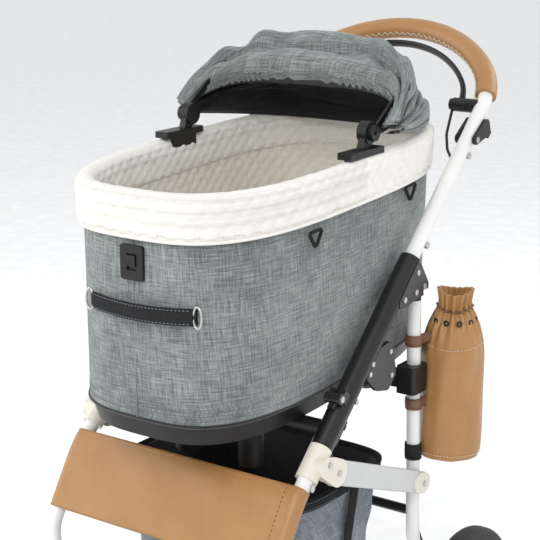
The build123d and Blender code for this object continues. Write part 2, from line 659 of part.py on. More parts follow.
BASKET_TOP, BASKET_BOTTOM = 421.0, 262.0
with BuildPart() as basket:
    loft([basket_face(BASKET_BOTTOM, 160, -158, 92), basket_face(BASKET_TOP, 181, -176, 101)])
    loft(
        [basket_face(BASKET_BOTTOM + 3, 157, -155, 89), basket_face(BASKET_TOP + 1, 178, -173, 98)],
        mode=Mode.SUBTRACT,
    )
    for side in (-1, 1):
        low, high = (side * LEG_X, 122.6, 410), (side * LEG_X, 121.6, 438)
        rod(low, high, LEG_R + 3)
        with Locations((side * 186, 104, 414)):
            Box(14, 26, 12)
        rod((side * LEG_X, 114, 676), (side * LEG_X, 128, 262), LEG_R + 0.3, Mode.SUBTRACT)
save(basket.part, "basket")

# ---- leather panel wrapped round the two front tubes ----
with BuildPart() as leather_panel:
    with BuildLine() as panel_route:
        FilletPolyline((0, *rake(-279)), (0, *rake(-300)), (0, -269.2, 363), radius=90)
    route = panel_route.wires()[0]
    with BuildSketch(Plane(origin=route @ 0, x_dir=(1, 0, 0), z_dir=route % 0)) as section:
        RectangleRounded(435, 29, 14.3)
        RectangleRounded(431.4, 25.4, 12.5, mode=Mode.SUBTRACT)
    sweep(section.sketch, path=route)
save(leather_panel.part, "leather_panel")

# ---- drawstring bag on the left leg ----
BAG_X, BAG_Y, BAG_R = 232.5, 187.0, 51.0
BAG_BOTTOM, BAG_NECK, BAG_TOP = 405.0, 648.0, 682.0
with BuildPart() as bag:
    with BuildSketch(Plane.XZ) as profile:
        with BuildLine():
            Line((0, BAG_BOTTOM), (BAG_R - 14, BAG_BOTTOM))
            RadiusArc((BAG_R - 14, BAG_BOTTOM), (BAG_R, BAG_BOTTOM + 14), -14)
            Line((BAG_R, BAG_BOTTOM + 14), (BAG_R, 600))
            Spline((BAG_R, 600), (38, BAG_NECK), (44, BAG_TOP), tangents=((0, 1), (0.3, 1)))
            Line((44, BAG_TOP), (0, BAG_TOP))
            Line((0, BAG_TOP), (0, BAG_BOTTOM))
        make_face()
    revolve(profile.sketch, axis=Axis.Z)
bag_body = bag.part.moved(Location((BAG_X, BAG_Y, 0)))
with BuildPart() as drawstring_bag:
    add(bag_body)
    for z, y in ((610, 116.2), (505, 119.8)):
        rod((LEG_X, y, z - 9), (LEG_X, y, z + 9), LEG_R + 3)
        with Locations((210, 137, z)):
            Box(8, 22, 16)
    rod((LEG_X, 114, 676), (LEG_X, 128, 262), LEG_R + 0.2, Mode.SUBTRACT)
save(drawstring_bag.part, "drawstring_bag")

with BuildPart() as drawstring:
    with BuildSketch(Plane.XZ) as bead:
        with Locations((41.5, BAG_NECK)):
            Circle(1.5)
    revolve(bead.sketch, axis=Axis.Z)
with BuildPart() as bag_drawstring:
    add(drawstring.part.moved(Location((BAG_X, BAG_Y, 0))))
    add(bag_body, mode=Mode.SUBTRACT)
save(bag_drawstring.part, "bag_drawstring")

# ---- brake cables, held along their whole routes ----
UPPER_CABLE = [
    (149, LEVER_AXIS[0] - 1, LEVER_AXIS[1] - 9.4),
    (150, 301, 905),
    (163, 281, 884),
    (181, 262, 874),
    (190, 252, 868),
]
with BuildPart() as upper_cable:
    length = bent_tube(UPPER_CABLE, [25, 22, 22], 2.3)
    pin(146, 151.7, LEVER_AXIS, 9.5, Mode.SUBTRACT)
    rake_rod(250, ARCH_S, TUBE_R + 0.02, mode=Mode.SUBTRACT)
print("upper cable", round(length), round(upper_cable.part.volume / (pi * 2.3**2)))
save_both(upper_cable.part, "upper_brake_cable")

LOWER_CABLE = [
    (LEG_X - 12, 131, 526),
    (LEG_X - 10, 136, 470),
    (LEG_X - 10, 139, 410),
    (LEG_X - 9, 142.5, 350),
    (LEG_X - 7, 146.5, 292),
    (LEG_X - 1, 166, 242),
    (LEG_X + 10, 187, 214),
    (LEG_X + 16.5, 199.5, 200),
    (LEG_X + 16.5, 200, 182.2),
]
with BuildPart() as lower_cable:
    length = bent_tube(LOWER_CABLE, [400, 400, 400, 110, 70, 60, 16], 2.3)
print("lower cable", round(length), round(lower_cable.part.volume / (pi * 2.3**2)))
save_both(lower_cable.part, "lower_brake_cable")
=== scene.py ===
# %% [markdown]
# # Pet stroller
# A padded cot for a pet stands on a folding frame with three wheels. The CAD model holds the frame, the
# wheels and the hinges, and it is loaded first and never moved. Everything soft is built here as
# computed surfaces, then given woven, quilted or leather materials. Lengths are in metres, +Y is towards
# the handle, +Z is up.

# %% Load the frame
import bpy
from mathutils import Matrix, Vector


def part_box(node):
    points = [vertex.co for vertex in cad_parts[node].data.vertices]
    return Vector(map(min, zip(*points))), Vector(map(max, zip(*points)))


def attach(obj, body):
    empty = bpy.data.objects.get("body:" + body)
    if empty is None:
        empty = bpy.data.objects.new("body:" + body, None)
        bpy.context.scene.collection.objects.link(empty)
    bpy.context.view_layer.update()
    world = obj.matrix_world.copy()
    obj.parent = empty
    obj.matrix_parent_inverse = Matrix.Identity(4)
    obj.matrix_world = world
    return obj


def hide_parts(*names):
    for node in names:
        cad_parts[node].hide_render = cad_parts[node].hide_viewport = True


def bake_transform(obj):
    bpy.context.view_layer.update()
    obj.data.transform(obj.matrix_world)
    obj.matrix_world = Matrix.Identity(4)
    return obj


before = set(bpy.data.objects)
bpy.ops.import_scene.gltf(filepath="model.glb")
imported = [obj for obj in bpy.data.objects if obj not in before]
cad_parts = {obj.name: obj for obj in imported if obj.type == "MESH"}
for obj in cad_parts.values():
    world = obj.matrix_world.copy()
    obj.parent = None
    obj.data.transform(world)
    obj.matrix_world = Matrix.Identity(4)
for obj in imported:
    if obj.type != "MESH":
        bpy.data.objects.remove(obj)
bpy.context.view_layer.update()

# %% Tools
from math import cos, degrees, pi, radians, sin

import bpy
import numpy as np
from mathutils import Vector

# %% [markdown]
# ## Driving dimensions
# The push tubes lie on one raked line, and the cot's plan is a superellipse that grows a little towards
# its rim. Both are given here once, as the CAD model has them, so every cloth piece below lands on its
# frame.

# %% Sizes
RAKE = radians(43.19)
TUBE_X, GRIP_R = 0.203, 0.0174
HOOD_Y, HOOD_Z = 0.026, 0.946
BASE_Z, RIM_Z = 0.584, 0.907
BASE = np.array([0.3085, 0.1705, 3.28, 0.06, -0.004])  # half length, half width, power, slope, centre
RIM = np.array([0.315, 0.176, 3.16, 0.05, 0.0])
CUFF_DROP = 0.060


def rake(s, off=0.0):
    """Point (y, z) at s along the push tube's line, off across it."""
    return 0.0045 + s * cos(RAKE) - off * sin(RAKE), 0.655 + s * sin(RAKE) + off * cos(RAKE)


def noise(x, seed, waves=6, low=0.6, high=3.0):
    """Smooth repeatable noise on points of any number of columns, about -1 to 1."""
    pick = np.random.default_rng(seed)
    x = np.asarray(x, float)
    total = np.zeros(x.shape[:-1])
    for _ in range(waves):
        way = pick.normal(size=x.shape[-1])
        way *= pick.uniform(low, high) / np.linalg.norm(way)
        total += np.sin(x @ way * 2 * pi + pick.uniform(0, 2 * pi))
    return total / np.sqrt(waves * 2)


# %% [markdown]
# ## Shader values
# A node tree can be wired by hand, but a formula is easier to read. This class wraps one socket, and
# arithmetic on it adds the math nodes.

# %% A socket that does arithmetic
class Value:
    """A socket in a node tree that can be added, multiplied and compared."""

    def __init__(self, tree, socket):
        self.tree, self.socket = tree, socket

    def node(self, kind, inputs=(), output=0, **settings):
        made = self.tree.nodes.new(kind)
        for key, setting in settings.items():
            setattr(made, key, setting)
        for key, given in dict(inputs).items():
            if isinstance(given, Value):
                self.tree.links.new(given.socket, made.inputs[key])
            else:
                made.inputs[key].default_value = given
        return Value(self.tree, made.outputs[output])

    def math(self, operation, *others):
        return self.node("ShaderNodeMath", enumerate((self, *others)), operation=operation)

    def __add__(self, other):
        return self.math("ADD", other)

    def __sub__(self, other):
        return self.math("SUBTRACT", other)

    def __mul__(self, other):
        return self.math("MULTIPLY", other)

    __radd__ = __add__
    __rmul__ = __mul__

    def __rsub__(self, other):
        return self * -1 + other

    def wave(self, pitch):
        """0 to 1 and back once in each pitch."""
        return (self * (2 * pi / pitch)).math("SINE") * 0.5 + 0.5

    def step(self, low, high):
        """0 below low, 1 above high."""
        inputs = {"Value": self, "From Min": low, "From Max": high}
        return self.node("ShaderNodeMapRange", inputs, interpolation_type="SMOOTHSTEP")

    def noise(self, scale, detail=3.0, rough=0.5):
        inputs = {"Vector": self, "Scale": scale, "Detail": detail, "Roughness": rough}
        return self.node("ShaderNodeTexNoise", inputs)

    def cells(self, scale, feature="F1"):
        return self.node("ShaderNodeTexVoronoi", {"Vector": self, "Scale": scale}, feature=feature)

    def stretch(self, x, y, z):
        """The same coordinates, scaled along each axis."""
        return self.node("ShaderNodeMapping", {"Vector": self, "Scale": (x, y, z)})

    def axis(self, index):
        return self.node("ShaderNodeSeparateXYZ", {"Vector": self}, output=index)

    def mix(self, dark, light):
        """Colour between two colours by this value."""
        given = {0: self, 6: (*dark, 1.0), 7: (*light, 1.0)}
        return self.node("ShaderNodeMix", given, output=2, data_type="RGBA")


# %% A material from a recipe
def material(name, recipe):
    """Material whose recipe takes object and own coordinates and returns its inputs."""
    made = bpy.data.materials.new(name)
    made.use_nodes = True
    tree = made.node_tree
    tree.nodes.clear()
    start = Value(tree, None)
    place = start.node("ShaderNodeTexCoord", output=3)
    own = start.node("ShaderNodeTexCoord", output=2)
    parts = recipe(place, own)
    bump = parts.pop("bump", None)
    inputs = {"IOR": parts.pop("ior", 1.45), "Specular IOR Level": parts.pop("specular", 0.5), **parts}
    if bump is not None:
        height, distance = bump
        shaped = {"Height": height, "Distance": distance, "Strength": 1.0}
        inputs["Normal"] = start.node("ShaderNodeBump", shaped)
    shader = start.node("ShaderNodeBsdfPrincipled", inputs)
    out = tree.nodes.new("ShaderNodeOutputMaterial")
    tree.links.new(shader.socket, out.inputs["Surface"])
    return made


# %% [markdown]
# ## Finishes
# The cot's cloth is a melange: dark and light slubs lie along the threads both ways. Noise stretched
# along the cloth's own coordinates gives the slubs, and two sine waves give the over and under of the
# weave.

# %% Cloth
def linen(dark, light, thread=0.0022, rough=0.92, depth=0.0006):
    """Melange cloth: slubbed threads both ways, coloured by stretched noise."""
    def recipe(place, own):
        warp = own.stretch(1500, 60, 1).noise(1.0, 4, 0.6)
        weft = own.stretch(60, 1500, 1).noise(1.0, 4, 0.6)
        along, across = own.stretch(420, 26, 1), own.stretch(26, 420, 1)
        slubs = along.noise(1.0, 3, 0.6) * 0.5 + across.noise(1.0, 3, 0.6) * 0.5
        patches = place.noise(9, 3) * 0.35
        tone = (warp * 0.5 + weft * 0.5 + slubs * 1.3 + patches - 0.92).step(0.18, 0.72)
        over = own.axis(0).wave(thread) * own.axis(1).wave(thread)
        return {"Base Color": tone.mix(dark, light), "Roughness": rough,
                "Sheen Weight": 0.25, "bump": (over + slubs, depth), "specular": 0.25}
    return recipe


# %% [markdown]
# Hide has pebbles of one size, pores between them and a colour that drifts slowly. Cells give the
# pebbles.

# %% Leather
def leather(dark, light, rough=0.48, grain=420):
    """Tanned hide: pebbled grain, slow colour drift, polish on the high spots."""
    def recipe(place, own):
        drift = place.noise(14, 4, 0.6)
        pebbles = place.cells(grain)
        pores = place.noise(900, 2)
        tone = (drift * 0.7 + pebbles * 0.2 + place.noise(70, 4) * 0.25 - 0.2).step(0.0, 0.95)
        return {"Base Color": tone.mix(dark, light), "Roughness": drift * 0.2 + (rough - 0.1),
                "bump": (pebbles * 0.7 + pores * 0.3, 0.0004), "Coat Weight": 0.06}
    return recipe


# %% [markdown]
# The hard finishes are powder coat on tubes, moulded plastic and turned steel. Each has one fine bump
# and one slow change of roughness, so that no face is perfectly even.

# %% Powder coat
def paint(base, rough=0.28, coat=0.4):
    """Powder coat: fine orange peel and faint handling marks."""
    def recipe(place, own):
        peel = place.noise(650, 2)
        dust = place.noise(16, 4).step(0.35, 0.8)
        dull = tuple(0.93 * c for c in base)
        return {"Base Color": dust.mix(dull, base), "Roughness": dust * 0.08 + rough,
                "bump": (peel, 0.0001), "Coat Weight": coat}
    return recipe


# %% Moulded plastic
def plastic(base, rough=0.5, grain=1400, depth=0.00015):
    """Moulded plastic: spark-eroded texture with slightly worn high spots."""
    def recipe(place, own):
        texture = place.noise(grain, 2)
        wear = place.noise(40, 4).step(0.5, 0.85)
        worn = tuple(1.25 * c + 0.003 for c in base)
        return {"Base Color": wear.mix(base, worn), "Roughness": wear * -0.08 + rough,
                "bump": (texture, depth)}
    return recipe


# %% Steel
def steel(base=(0.6, 0.6, 0.59), rough=0.3):
    """Turned steel with fine marks."""
    def recipe(place, own):
        marks = place.stretch(2000, 90, 90).noise(1.0, 3)
        return {"Base Color": marks.mix(tuple(0.8 * c for c in base), base), "Metallic": 1.0,
                "Roughness": marks * 0.14 + rough - 0.05, "bump": (marks, 0.00005)}
    return recipe


# %% [markdown]
# A tyre's tread repeats round its axle, so the pattern is worked out from the angle about the axle's
# centre and the distance across the tread.

# %% Tyre tread
def tread(centre):
    """Tyre rubber with ribs across the tread, turned about the axle."""
    def recipe(place, own):
        y, z = place.axis(1) - centre[1], place.axis(2) - centre[2]
        angle = z.math("ARCTAN2", y)
        across = (place.axis(0) - centre[0]).math("ABSOLUTE")
        ribs = (angle * 60 + across * 260).math("SINE").step(-0.15, 0.25)
        grooves = (across * 560).math("COSINE").step(-0.75, -0.4)
        crown = across.step(0.026, 0.014)
        marks = place.noise(300, 4)
        dusty = place.noise(30, 4).step(0.3, 0.8)
        return {"Base Color": dusty.mix((0.016, 0.016, 0.016), (0.035, 0.034, 0.032)),
                "Roughness": dusty * 0.15 + 0.62, "bump": (ribs * grooves * crown + marks * 0.05, 0.0016)}
    return recipe


# %% Webbing
def webbing(base, pitch=0.0022):
    """Woven strap: ribs across, with a painted highlight on the rib crests and lighter fuzz at random."""
    def recipe(place, own):
        ribs = own.axis(0).wave(pitch) * 0.6 + own.axis(1).wave(pitch * 1.6) * 0.4
        fluff = place.noise(260, 4)
        highlight_and_fuzz = tuple(1.9 * c + 0.015 for c in base)
        # painted highlight: the rib crests are coloured lighter, mixed with random lighter fuzz
        return {"Base Color": (ribs * 0.5 + fluff * 0.6 - 0.2).step(0, 1).mix(base, highlight_and_fuzz),
                "Roughness": 0.85, "bump": (ribs, 0.0005), "specular": 0.2}
    return recipe


# %% The stroller's own finishes
LINEN = material("grey_linen", linen((0.092, 0.106, 0.106), (0.365, 0.392, 0.385)))
DENIM = material("denim_melange", linen((0.10, 0.125, 0.15), (0.34, 0.385, 0.42)))
CREAM = material("cream_cloth", linen((0.80, 0.775, 0.715), (0.90, 0.88, 0.83), 0.0015, 0.9, 0.0003))
QUILT = material("cream_quilt", linen((0.76, 0.725, 0.64), (0.87, 0.845, 0.77), 0.0015, 0.9, 0.0003))
NYLON = material("black_nylon", linen((0.010, 0.010, 0.012), (0.030, 0.030, 0.034), 0.0012, 0.55, 0.0002))
WEBBING = material("black_webbing", webbing((0.012, 0.012, 0.013)))
TAN = material("tan_leather", leather((0.335, 0.165, 0.055), (0.43, 0.225, 0.082), 0.4))
TAN_SOFT = material("tan_leather_soft", leather((0.35, 0.178, 0.062), (0.45, 0.245, 0.094), 0.42, 300))
BROWN = material("brown_leather", leather((0.13, 0.06, 0.035), (0.27, 0.14, 0.08), 0.45))
THREAD = material("pale_thread", plastic((0.62, 0.55, 0.42), 0.7, 700, 0.0002))
GREY_THREAD = material("grey_thread", plastic((0.16, 0.19, 0.21), 0.8, 700, 0.0002))
WHITE = material("white_powder_coat", paint((0.80, 0.80, 0.78)))
CREAM_PAINT = material("cream_powder_coat", paint((0.74, 0.70, 0.60), 0.36))
BAR_PAINT = material("grey_powder_coat", paint((0.56, 0.57, 0.56), 0.36))
SLEEVE = material("satin_black_sleeve", paint((0.007, 0.007, 0.008), 0.28, 0.2))
BLACK = material("black_moulding", plastic((0.005, 0.005, 0.0055), 0.4))
STEEL = material("steel", steel())
RIM_WHITE = material("white_rim", plastic((0.72, 0.72, 0.70), 0.3, 500, 0.0001))
RUBBER = material("black_rubber", plastic((0.012, 0.012, 0.012), 0.6, 900, 0.0002))


# %% [markdown]
# ## Finishes of the frame's own nodes
# The CAD nodes keep their meshes, and each only gets a material.

# %% Give every hard node its finish
def axle(node):
    """Centre of a turned node."""
    low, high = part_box(node)
    return [(a + b) / 2 for a, b in zip(low, high)]


NODE_LOOKS = {
    WHITE: ["front_tubes", "push_bar", "rear_legs", "front_fork"],
    CREAM_PAINT: ["bar_brackets"],
    BAR_PAINT: ["side_bars"],
    SLEEVE: ["lower_sleeves", "upper_sleeves", "rear_axle_beam", "rear_cross_tubes"],
    BLACK: ["fold_latch_left", "fold_latch_right", "leg_mouldings", "front_cross_member", "axle_clamps",
            "steering_head", "brake_lever", "brake_lever_pivots", "fold_trigger_left", "fold_trigger_right",
            "brake_plates", "cot_tray", "buckle_plate", "buckle_button", "hood_clamps", "hood_front_bow",
            "hood_mid_bow", "wheel_release_button_left", "wheel_release_button_right"],
    STEEL: ["frame_pins", "steering_bushes", "fork_stem", "front_axle", "front_wheel_bearings",
            "rear_wheel_bearings", "stub_axles", "upper_fasteners", "chassis_fasteners"],
    RIM_WHITE: ["front_rim", "rear_rim_left", "rear_rim_right"],
    RUBBER: ["brake_shoes", "upper_brake_cable", "lower_brake_cable"],
    TAN: ["leather_grip"],
}
for wheel in ("front_tyre", "rear_tyre_left", "rear_tyre_right"):
    NODE_LOOKS[material("tread_" + wheel, tread(axle(wheel)))] = [wheel]
for look, nodes in NODE_LOOKS.items():
    for node in nodes:
        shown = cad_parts[node]
        shown.data.materials.clear()
        shown.data.materials.append(look)
print("finishes on", sum(len(nodes) for nodes in NODE_LOOKS.values()), "nodes")


# %% [markdown]
# ## Surfaces
# Each soft piece is a grid of computed points, rows by columns, joined by quads. Its own coordinates are
# lengths in metres along the grid, so threads keep their size on every piece.

# %% A mesh from points and faces
def mesh_piece(name, points, faces, look, own=None, smooth=True):
    mesh = bpy.data.meshes.new(name)
    mesh.from_pydata(np.asarray(points).reshape(-1, 3).tolist(), [], faces)
    if own is not None:
        layer = mesh.uv_layers.new(name="own")
        corners = np.empty(len(mesh.loops), int)
        mesh.loops.foreach_get("vertex_index", corners)
        layer.data.foreach_set("uv", np.asarray(own).reshape(-1, 2)[corners].ravel())
    mesh.polygons.foreach_set("use_smooth", [smooth] * len(mesh.polygons))
    mesh.materials.append(look)
    mesh.update()
    piece = bpy.data.objects.new(name, mesh)
    bpy.context.collection.objects.link(piece)
    return piece


# %% A surface through a grid of points
def grid(name, points, look, closed=False, thick=0.0):
    """Surface through a grid of points, rows by columns, joined up along its columns if closed."""
    points = np.asarray(points, float)
    if closed:
        points = np.concatenate([points, points[:, :1]], axis=1)
    rows, columns = points.shape[:2]
    along = np.zeros((rows, columns))
    up = np.zeros((rows, columns))
    along[:, 1:] = np.cumsum(np.linalg.norm(np.diff(points, axis=1), axis=2), axis=1)
    up[1:] = np.cumsum(np.linalg.norm(np.diff(points, axis=0), axis=2).mean(axis=1))[:, None]
    a = (np.arange(rows - 1)[:, None] * columns + np.arange(columns - 1)).ravel()
    faces = np.stack([a, a + 1, a + columns + 1, a + columns], axis=1).tolist()
    piece = mesh_piece(name, points, faces, look, np.stack([along, up], axis=2))
    if closed:
        weld = piece.modifiers.new("weld", "WELD")
        weld.merge_threshold = 0.00005
    if thick:
        solid = piece.modifiers.new("thickness", "SOLIDIFY")
        solid.thickness, solid.offset = thick, -1
    return piece


# %% [markdown]
# Piping, rings and cords are round sections carried along a path. Their side directions turn with the
# path without twisting, because each is the last one flattened against the new tangent.

# %% Tubes
def unit(vectors):
    """The same directions at length 1."""
    return vectors / (np.linalg.norm(vectors, axis=-1, keepdims=True) + 1e-12)


def tangents(path):
    """Direction of a path at each of its points."""
    return unit(np.gradient(np.asarray(path, float), axis=0))


def line_frames(path):
    """Two side directions at each point of a path."""
    tangent = tangents(path)
    side = np.cross(tangent[0], (0.13, 0.2, 0.97))
    sides = []
    for t in tangent:
        side = unit(side - t * (side @ t))
        sides.append(side)
    sides = np.array(sides)
    return sides, np.cross(tangent, sides)


def tube(name, path, radius, look, sides=8, closed=False):
    """Round tube along a path."""
    path = np.asarray(path, float)
    if closed:
        path = np.concatenate([path, path[:1]])
    one, two = line_frames(path)
    turn = np.linspace(0, 2 * pi, sides, endpoint=False)
    around = one[:, None] * np.cos(turn)[:, None] + two[:, None] * np.sin(turn)[:, None]
    return grid(name, path[:, None] + around * radius, look, closed=True)


def joined(name, pieces):
    """One object from several."""
    bpy.ops.object.select_all(action="DESELECT")
    for piece in pieces:
        piece.select_set(True)
        bpy.context.view_layer.objects.active = piece
        for modifier in list(piece.modifiers):
            bpy.ops.object.modifier_apply(modifier=modifier.name)
    bpy.context.view_layer.objects.active = pieces[0]
    bpy.ops.object.join()
    pieces[0].name = name
    return pieces[0]


def resample(path, pitch):
    """Points about pitch apart along a path."""
    path = np.asarray(path, float)
    run = np.concatenate([[0], np.cumsum(np.linalg.norm(np.diff(path, axis=0), axis=1))])
    count = max(2, int(run[-1] / pitch) + 1)
    at = np.linspace(0, run[-1], count)
    return np.stack([np.interp(at, run, path[:, k]) for k in range(3)], axis=1)


# %% [markdown]
# Thread shows as separate stitches, each a small bead that is thin at both ends. All of a row's beads
# are worked out at once from one ring of five points.

# %% Stitches
def stitches(name, path, look, pitch=0.0055, length=0.0036, radius=0.0006):
    """A row of separate thread stitches lying on a path."""
    centre = resample(path, pitch)
    way = tangents(centre)
    side = unit(np.cross(way, (0.3, 0.2, 0.9)))
    other = np.cross(way, side)
    turn = np.linspace(0, 2 * pi, 5, endpoint=False)
    places, sizes = np.array((-0.5, -0.25, 0.25, 0.5)), np.array((0.3, 1, 1, 0.3))
    around = side[:, None] * np.cos(turn)[:, None] + other[:, None] * np.sin(turn)[:, None]
    lengthwise = way[:, None, None] * (places * length)[:, None, None]
    points = centre[:, None, None] + lengthwise + around[:, None] * (sizes * radius)[:, None, None]
    a = (np.arange(3)[:, None] * 5 + np.arange(5)).ravel()
    b = (np.arange(3)[:, None] * 5 + (np.arange(5) + 1) % 5).ravel()
    first = np.arange(len(centre))[:, None, None] * 20
    walls = (first + np.stack([a, b, b + 5, a + 5], axis=1)).reshape(-1, 4).tolist()
    caps = (first + np.array([[4, 3, 2, 1, 0], [15, 16, 17, 18, 19]])).reshape(-1, 5).tolist()
    return mesh_piece(name, points, walls + caps, look, np.zeros(points.shape[:-1] + (2,)))


# %% Put a piece on its body
def fit(piece, body, replaced=()):
    """Puts a piece on its body and hides the parts it stands for."""
    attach(piece, body)
    if replaced:
        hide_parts(*replaced)
    print(piece.name, "rides on", body + ",", len(piece.data.vertices), "points")
    return piece


# %% [markdown]
# ## The cot
# The cot is a stiffened cloth tub. A section at any height is a superellipse, so the wall, liner, cuff
# and cushion all come from one function, and a piece's thickness is only how far its section is grown.

# %% Sections of the cot
def cot_ring(height, grow, count=288, turn=None):
    """Points round the cot at a centre height, grown outwards; both may vary round the ring."""
    t = np.linspace(0, 2 * pi, count, endpoint=False) if turn is None else turn
    f = (np.asarray(height) - BASE_Z) / (RIM_Z - BASE_Z)
    a, b, power, slope, centre = (p + f * (q - p) for p, q in zip(BASE, RIM))
    c, d = np.cos(t), np.sin(t)
    x = (b + grow) * np.abs(c) ** (2 / power) * np.sign(c)
    y = (a + grow) * np.abs(d) ** (2 / power) * np.sign(d)
    tilt = np.arctan(slope)
    return np.stack([x, centre + y * np.cos(tilt), height + y * np.sin(tilt) + 0 * t], axis=-1)


def even_turns(count):
    """Turns that space points evenly round the wall: the length run so far, read backwards."""
    turn = np.linspace(0, 2 * pi, 2881)
    steps = np.linalg.norm(np.diff(cot_ring(0.75, 0, turn=turn), axis=0), axis=1)
    run = np.concatenate([[0], np.cumsum(steps)])
    return np.interp(np.linspace(0, 1, count, endpoint=False), run / run[-1], turn)


EVEN = even_turns(288)
CLOSED = np.append(EVEN, 2 * pi)
FRONT = np.array([3 * pi / 2])
ROUND = 1.60  # distance round the wall


# %% [markdown]
# The wall's cloth is pulled tight at its rim and base and slackens a little between, so slow noise moves
# it by up to 2 mm there. Two rows of top stitching pull a groove just above the base.

# %% The wall
SEAM_RISES = (0.012, 0.022)


def cot_wall():
    heights = np.linspace(BASE_Z - 0.002, RIM_Z - CUFF_DROP + 0.02, 46)
    rows = []
    for z in heights:
        up = (z - BASE_Z) / 0.28
        where = np.stack([np.cos(EVEN) * 1.2, np.sin(EVEN) * 1.6, np.full_like(EVEN, up * 0.8)], axis=1)
        pull = noise(where, 3, 8, 0.5, 2.4) * 0.0022 * np.sin(pi * np.clip(up, 0, 1)) ** 0.7
        grow = pull + 0.0012
        for seam in SEAM_RISES:
            grow = grow - 0.0012 * np.exp(-((z - BASE_Z - seam) / 0.0016) ** 2)
        rows.append(cot_ring(z, grow, turn=EVEN))
    return fit(grid("cot_fabric", rows, LINEN, closed=True), "cot", ["cot_shell"])


cot_wall()
rows_of_stitching = []
for k, rise in enumerate(SEAM_RISES):
    path = cot_ring(BASE_Z + rise, 0.0012, turn=CLOSED)
    rows_of_stitching.append(stitches(f"cot_stitch_{k}", path, GREY_THREAD))
seam_heights = np.linspace(BASE_Z + 0.002, RIM_Z - CUFF_DROP, 40)
front_line = np.array([cot_ring(z, 0.0022, turn=FRONT)[0] for z in seam_heights])
for k, side in enumerate((-0.010, 0.010)):
    rows_of_stitching.append(stitches(f"cot_seam_{k}", front_line + (side, 0, 0), GREY_THREAD))
fit(joined("cot_stitching", rows_of_stitching), "cot")
fit(tube("front_seam", front_line, 0.0011, LINEN), "cot")
fit(tube("cot_lower_binding", cot_ring(BASE_Z + 0.001, 0.0014, turn=CLOSED), 0.0024, NYLON), "cot")


# %% [markdown]
# The liner is wadding sewn through on diagonal lines. The product of two sine waves, one along each
# diagonal, is zero on every sewn line, and a root of it rounds the diamonds between them.

# %% The quilted liner
FINE = np.interp(np.linspace(0, 288, 577)[:-1], np.arange(289), CLOSED)


def quilting(u, z, pitch=0.0250):
    """Height of diamond quilting, 0 on the sewn lines and 1 between them."""
    return np.abs(np.sin(pi * (u + z) / pitch) * np.sin(pi * (u - z) / pitch)) ** 0.5


def cot_lining():
    """Diamond-quilted inside wall and floor."""
    rows = []
    for z in np.linspace(0.592, RIM_Z - 0.004, 90):
        u = np.arange(FINE.size) / FINE.size * ROUND
        puff = quilting(u, z)
        rows.append(cot_ring(z, -0.0102 - 0.0022 * puff, turn=FINE))
    return fit(grid("cot_quilted_lining", rows, QUILT, closed=True), "cot", ["cot_liner"])


cot_lining()


# %% [markdown]
# The cuff is a padded border folded over the rim. Its profile is a list of heights and growths,
# smoothed, and each of its points is carried round the cot.

# %% The cuff
def cuff():
    """Padded border folded over the rim, from inside, over the crest and down to its outer hem."""
    profile = [(-0.050, -0.0125), (-0.030, -0.0145), (-0.012, -0.0155), (-0.002, -0.0140), (0.0045, -0.0095),
               (0.0072, -0.0030), (0.0062, 0.0032), (0.001, 0.0078), (-0.010, 0.0088), (-0.028, 0.0082),
               (-0.045, 0.0078), (-0.055, 0.0070), (-0.0585, 0.0052)]
    line = np.array(profile)
    at = np.linspace(0, len(line) - 1, 56)
    rise = np.interp(at, np.arange(len(line)), line[:, 0])
    grow = np.interp(at, np.arange(len(line)), line[:, 1])
    for _ in range(2):
        rise[1:-1] = (rise[:-2] + 2 * rise[1:-1] + rise[2:]) / 4
        grow[1:-1] = (grow[:-2] + 2 * grow[1:-1] + grow[2:]) / 4
    rows = []
    run = np.concatenate([[0], np.cumsum(np.hypot(np.diff(rise), np.diff(grow)))])
    u = np.arange(FINE.size) / FINE.size * ROUND
    for dz, g, down in zip(rise, grow, run):
        where = np.stack([np.cos(FINE) * 2, np.sin(FINE) * 3, np.full_like(FINE, dz * 12)], axis=1)
        ripple = noise(where, 11, 8, 0.8, 3.2) * 0.0009
        puff = quilting(u, down) * 0.0022 * (1 if dz < 0.001 else 0.5)
        rows.append(cot_ring(RIM_Z + dz, g + ripple + puff * (1 if g > -0.004 else -1), turn=FINE))
    return fit(grid("cuff", rows, CREAM, closed=True), "cot", ["cot_cuff"])


cuff()
HEM_Z = RIM_Z - CUFF_DROP
fit(tube("cuff_piping", cot_ring(HEM_Z + 0.001, 0.0062, turn=CLOSED), 0.0028, CREAM), "cot")
fit(stitches("cuff_stitching", cot_ring(HEM_Z + 0.009, 0.0080, turn=CLOSED), THREAD), "cot")
fit(stitches("cuff_inner_stitching", cot_ring(RIM_Z - 0.046, -0.0142, turn=CLOSED), THREAD), "cot")


# %% [markdown]
# The cushion is a boxed pad. A cloth simulation with pressure and no gravity swells it between its
# seams, and no point may move further than the cap.

# %% The cushion
def inflate(piece, pressure, cap, frames=20):
    """Blows a closed piece up a little by cloth simulation and keeps the shape."""
    start = np.array([v.co[:] for v in piece.data.vertices])
    cloth = piece.modifiers.new("cloth", "CLOTH")
    cloth.settings.use_pressure = True
    cloth.settings.uniform_pressure_force = pressure
    cloth.settings.effector_weights.gravity = 0
    cloth.settings.quality = 4
    cloth.point_cache.frame_start, cloth.point_cache.frame_end = 1, frames
    for step in range(1, frames + 1):
        bpy.context.scene.frame_set(step)
    shaped = piece.evaluated_get(bpy.context.evaluated_depsgraph_get())
    end = np.array([v.co[:] for v in shaped.data.vertices])
    piece.modifiers.remove(cloth)
    bpy.context.scene.frame_set(1)
    move = end - start
    size = np.linalg.norm(move, axis=1, keepdims=True)
    move *= np.minimum(1, cap / np.maximum(size, 1e-9))
    piece.data.vertices.foreach_set("co", (start + move).ravel())
    print(piece.name, "swelled by up to", round(float(np.linalg.norm(move, axis=1).max()) * 1000, 2), "mm")


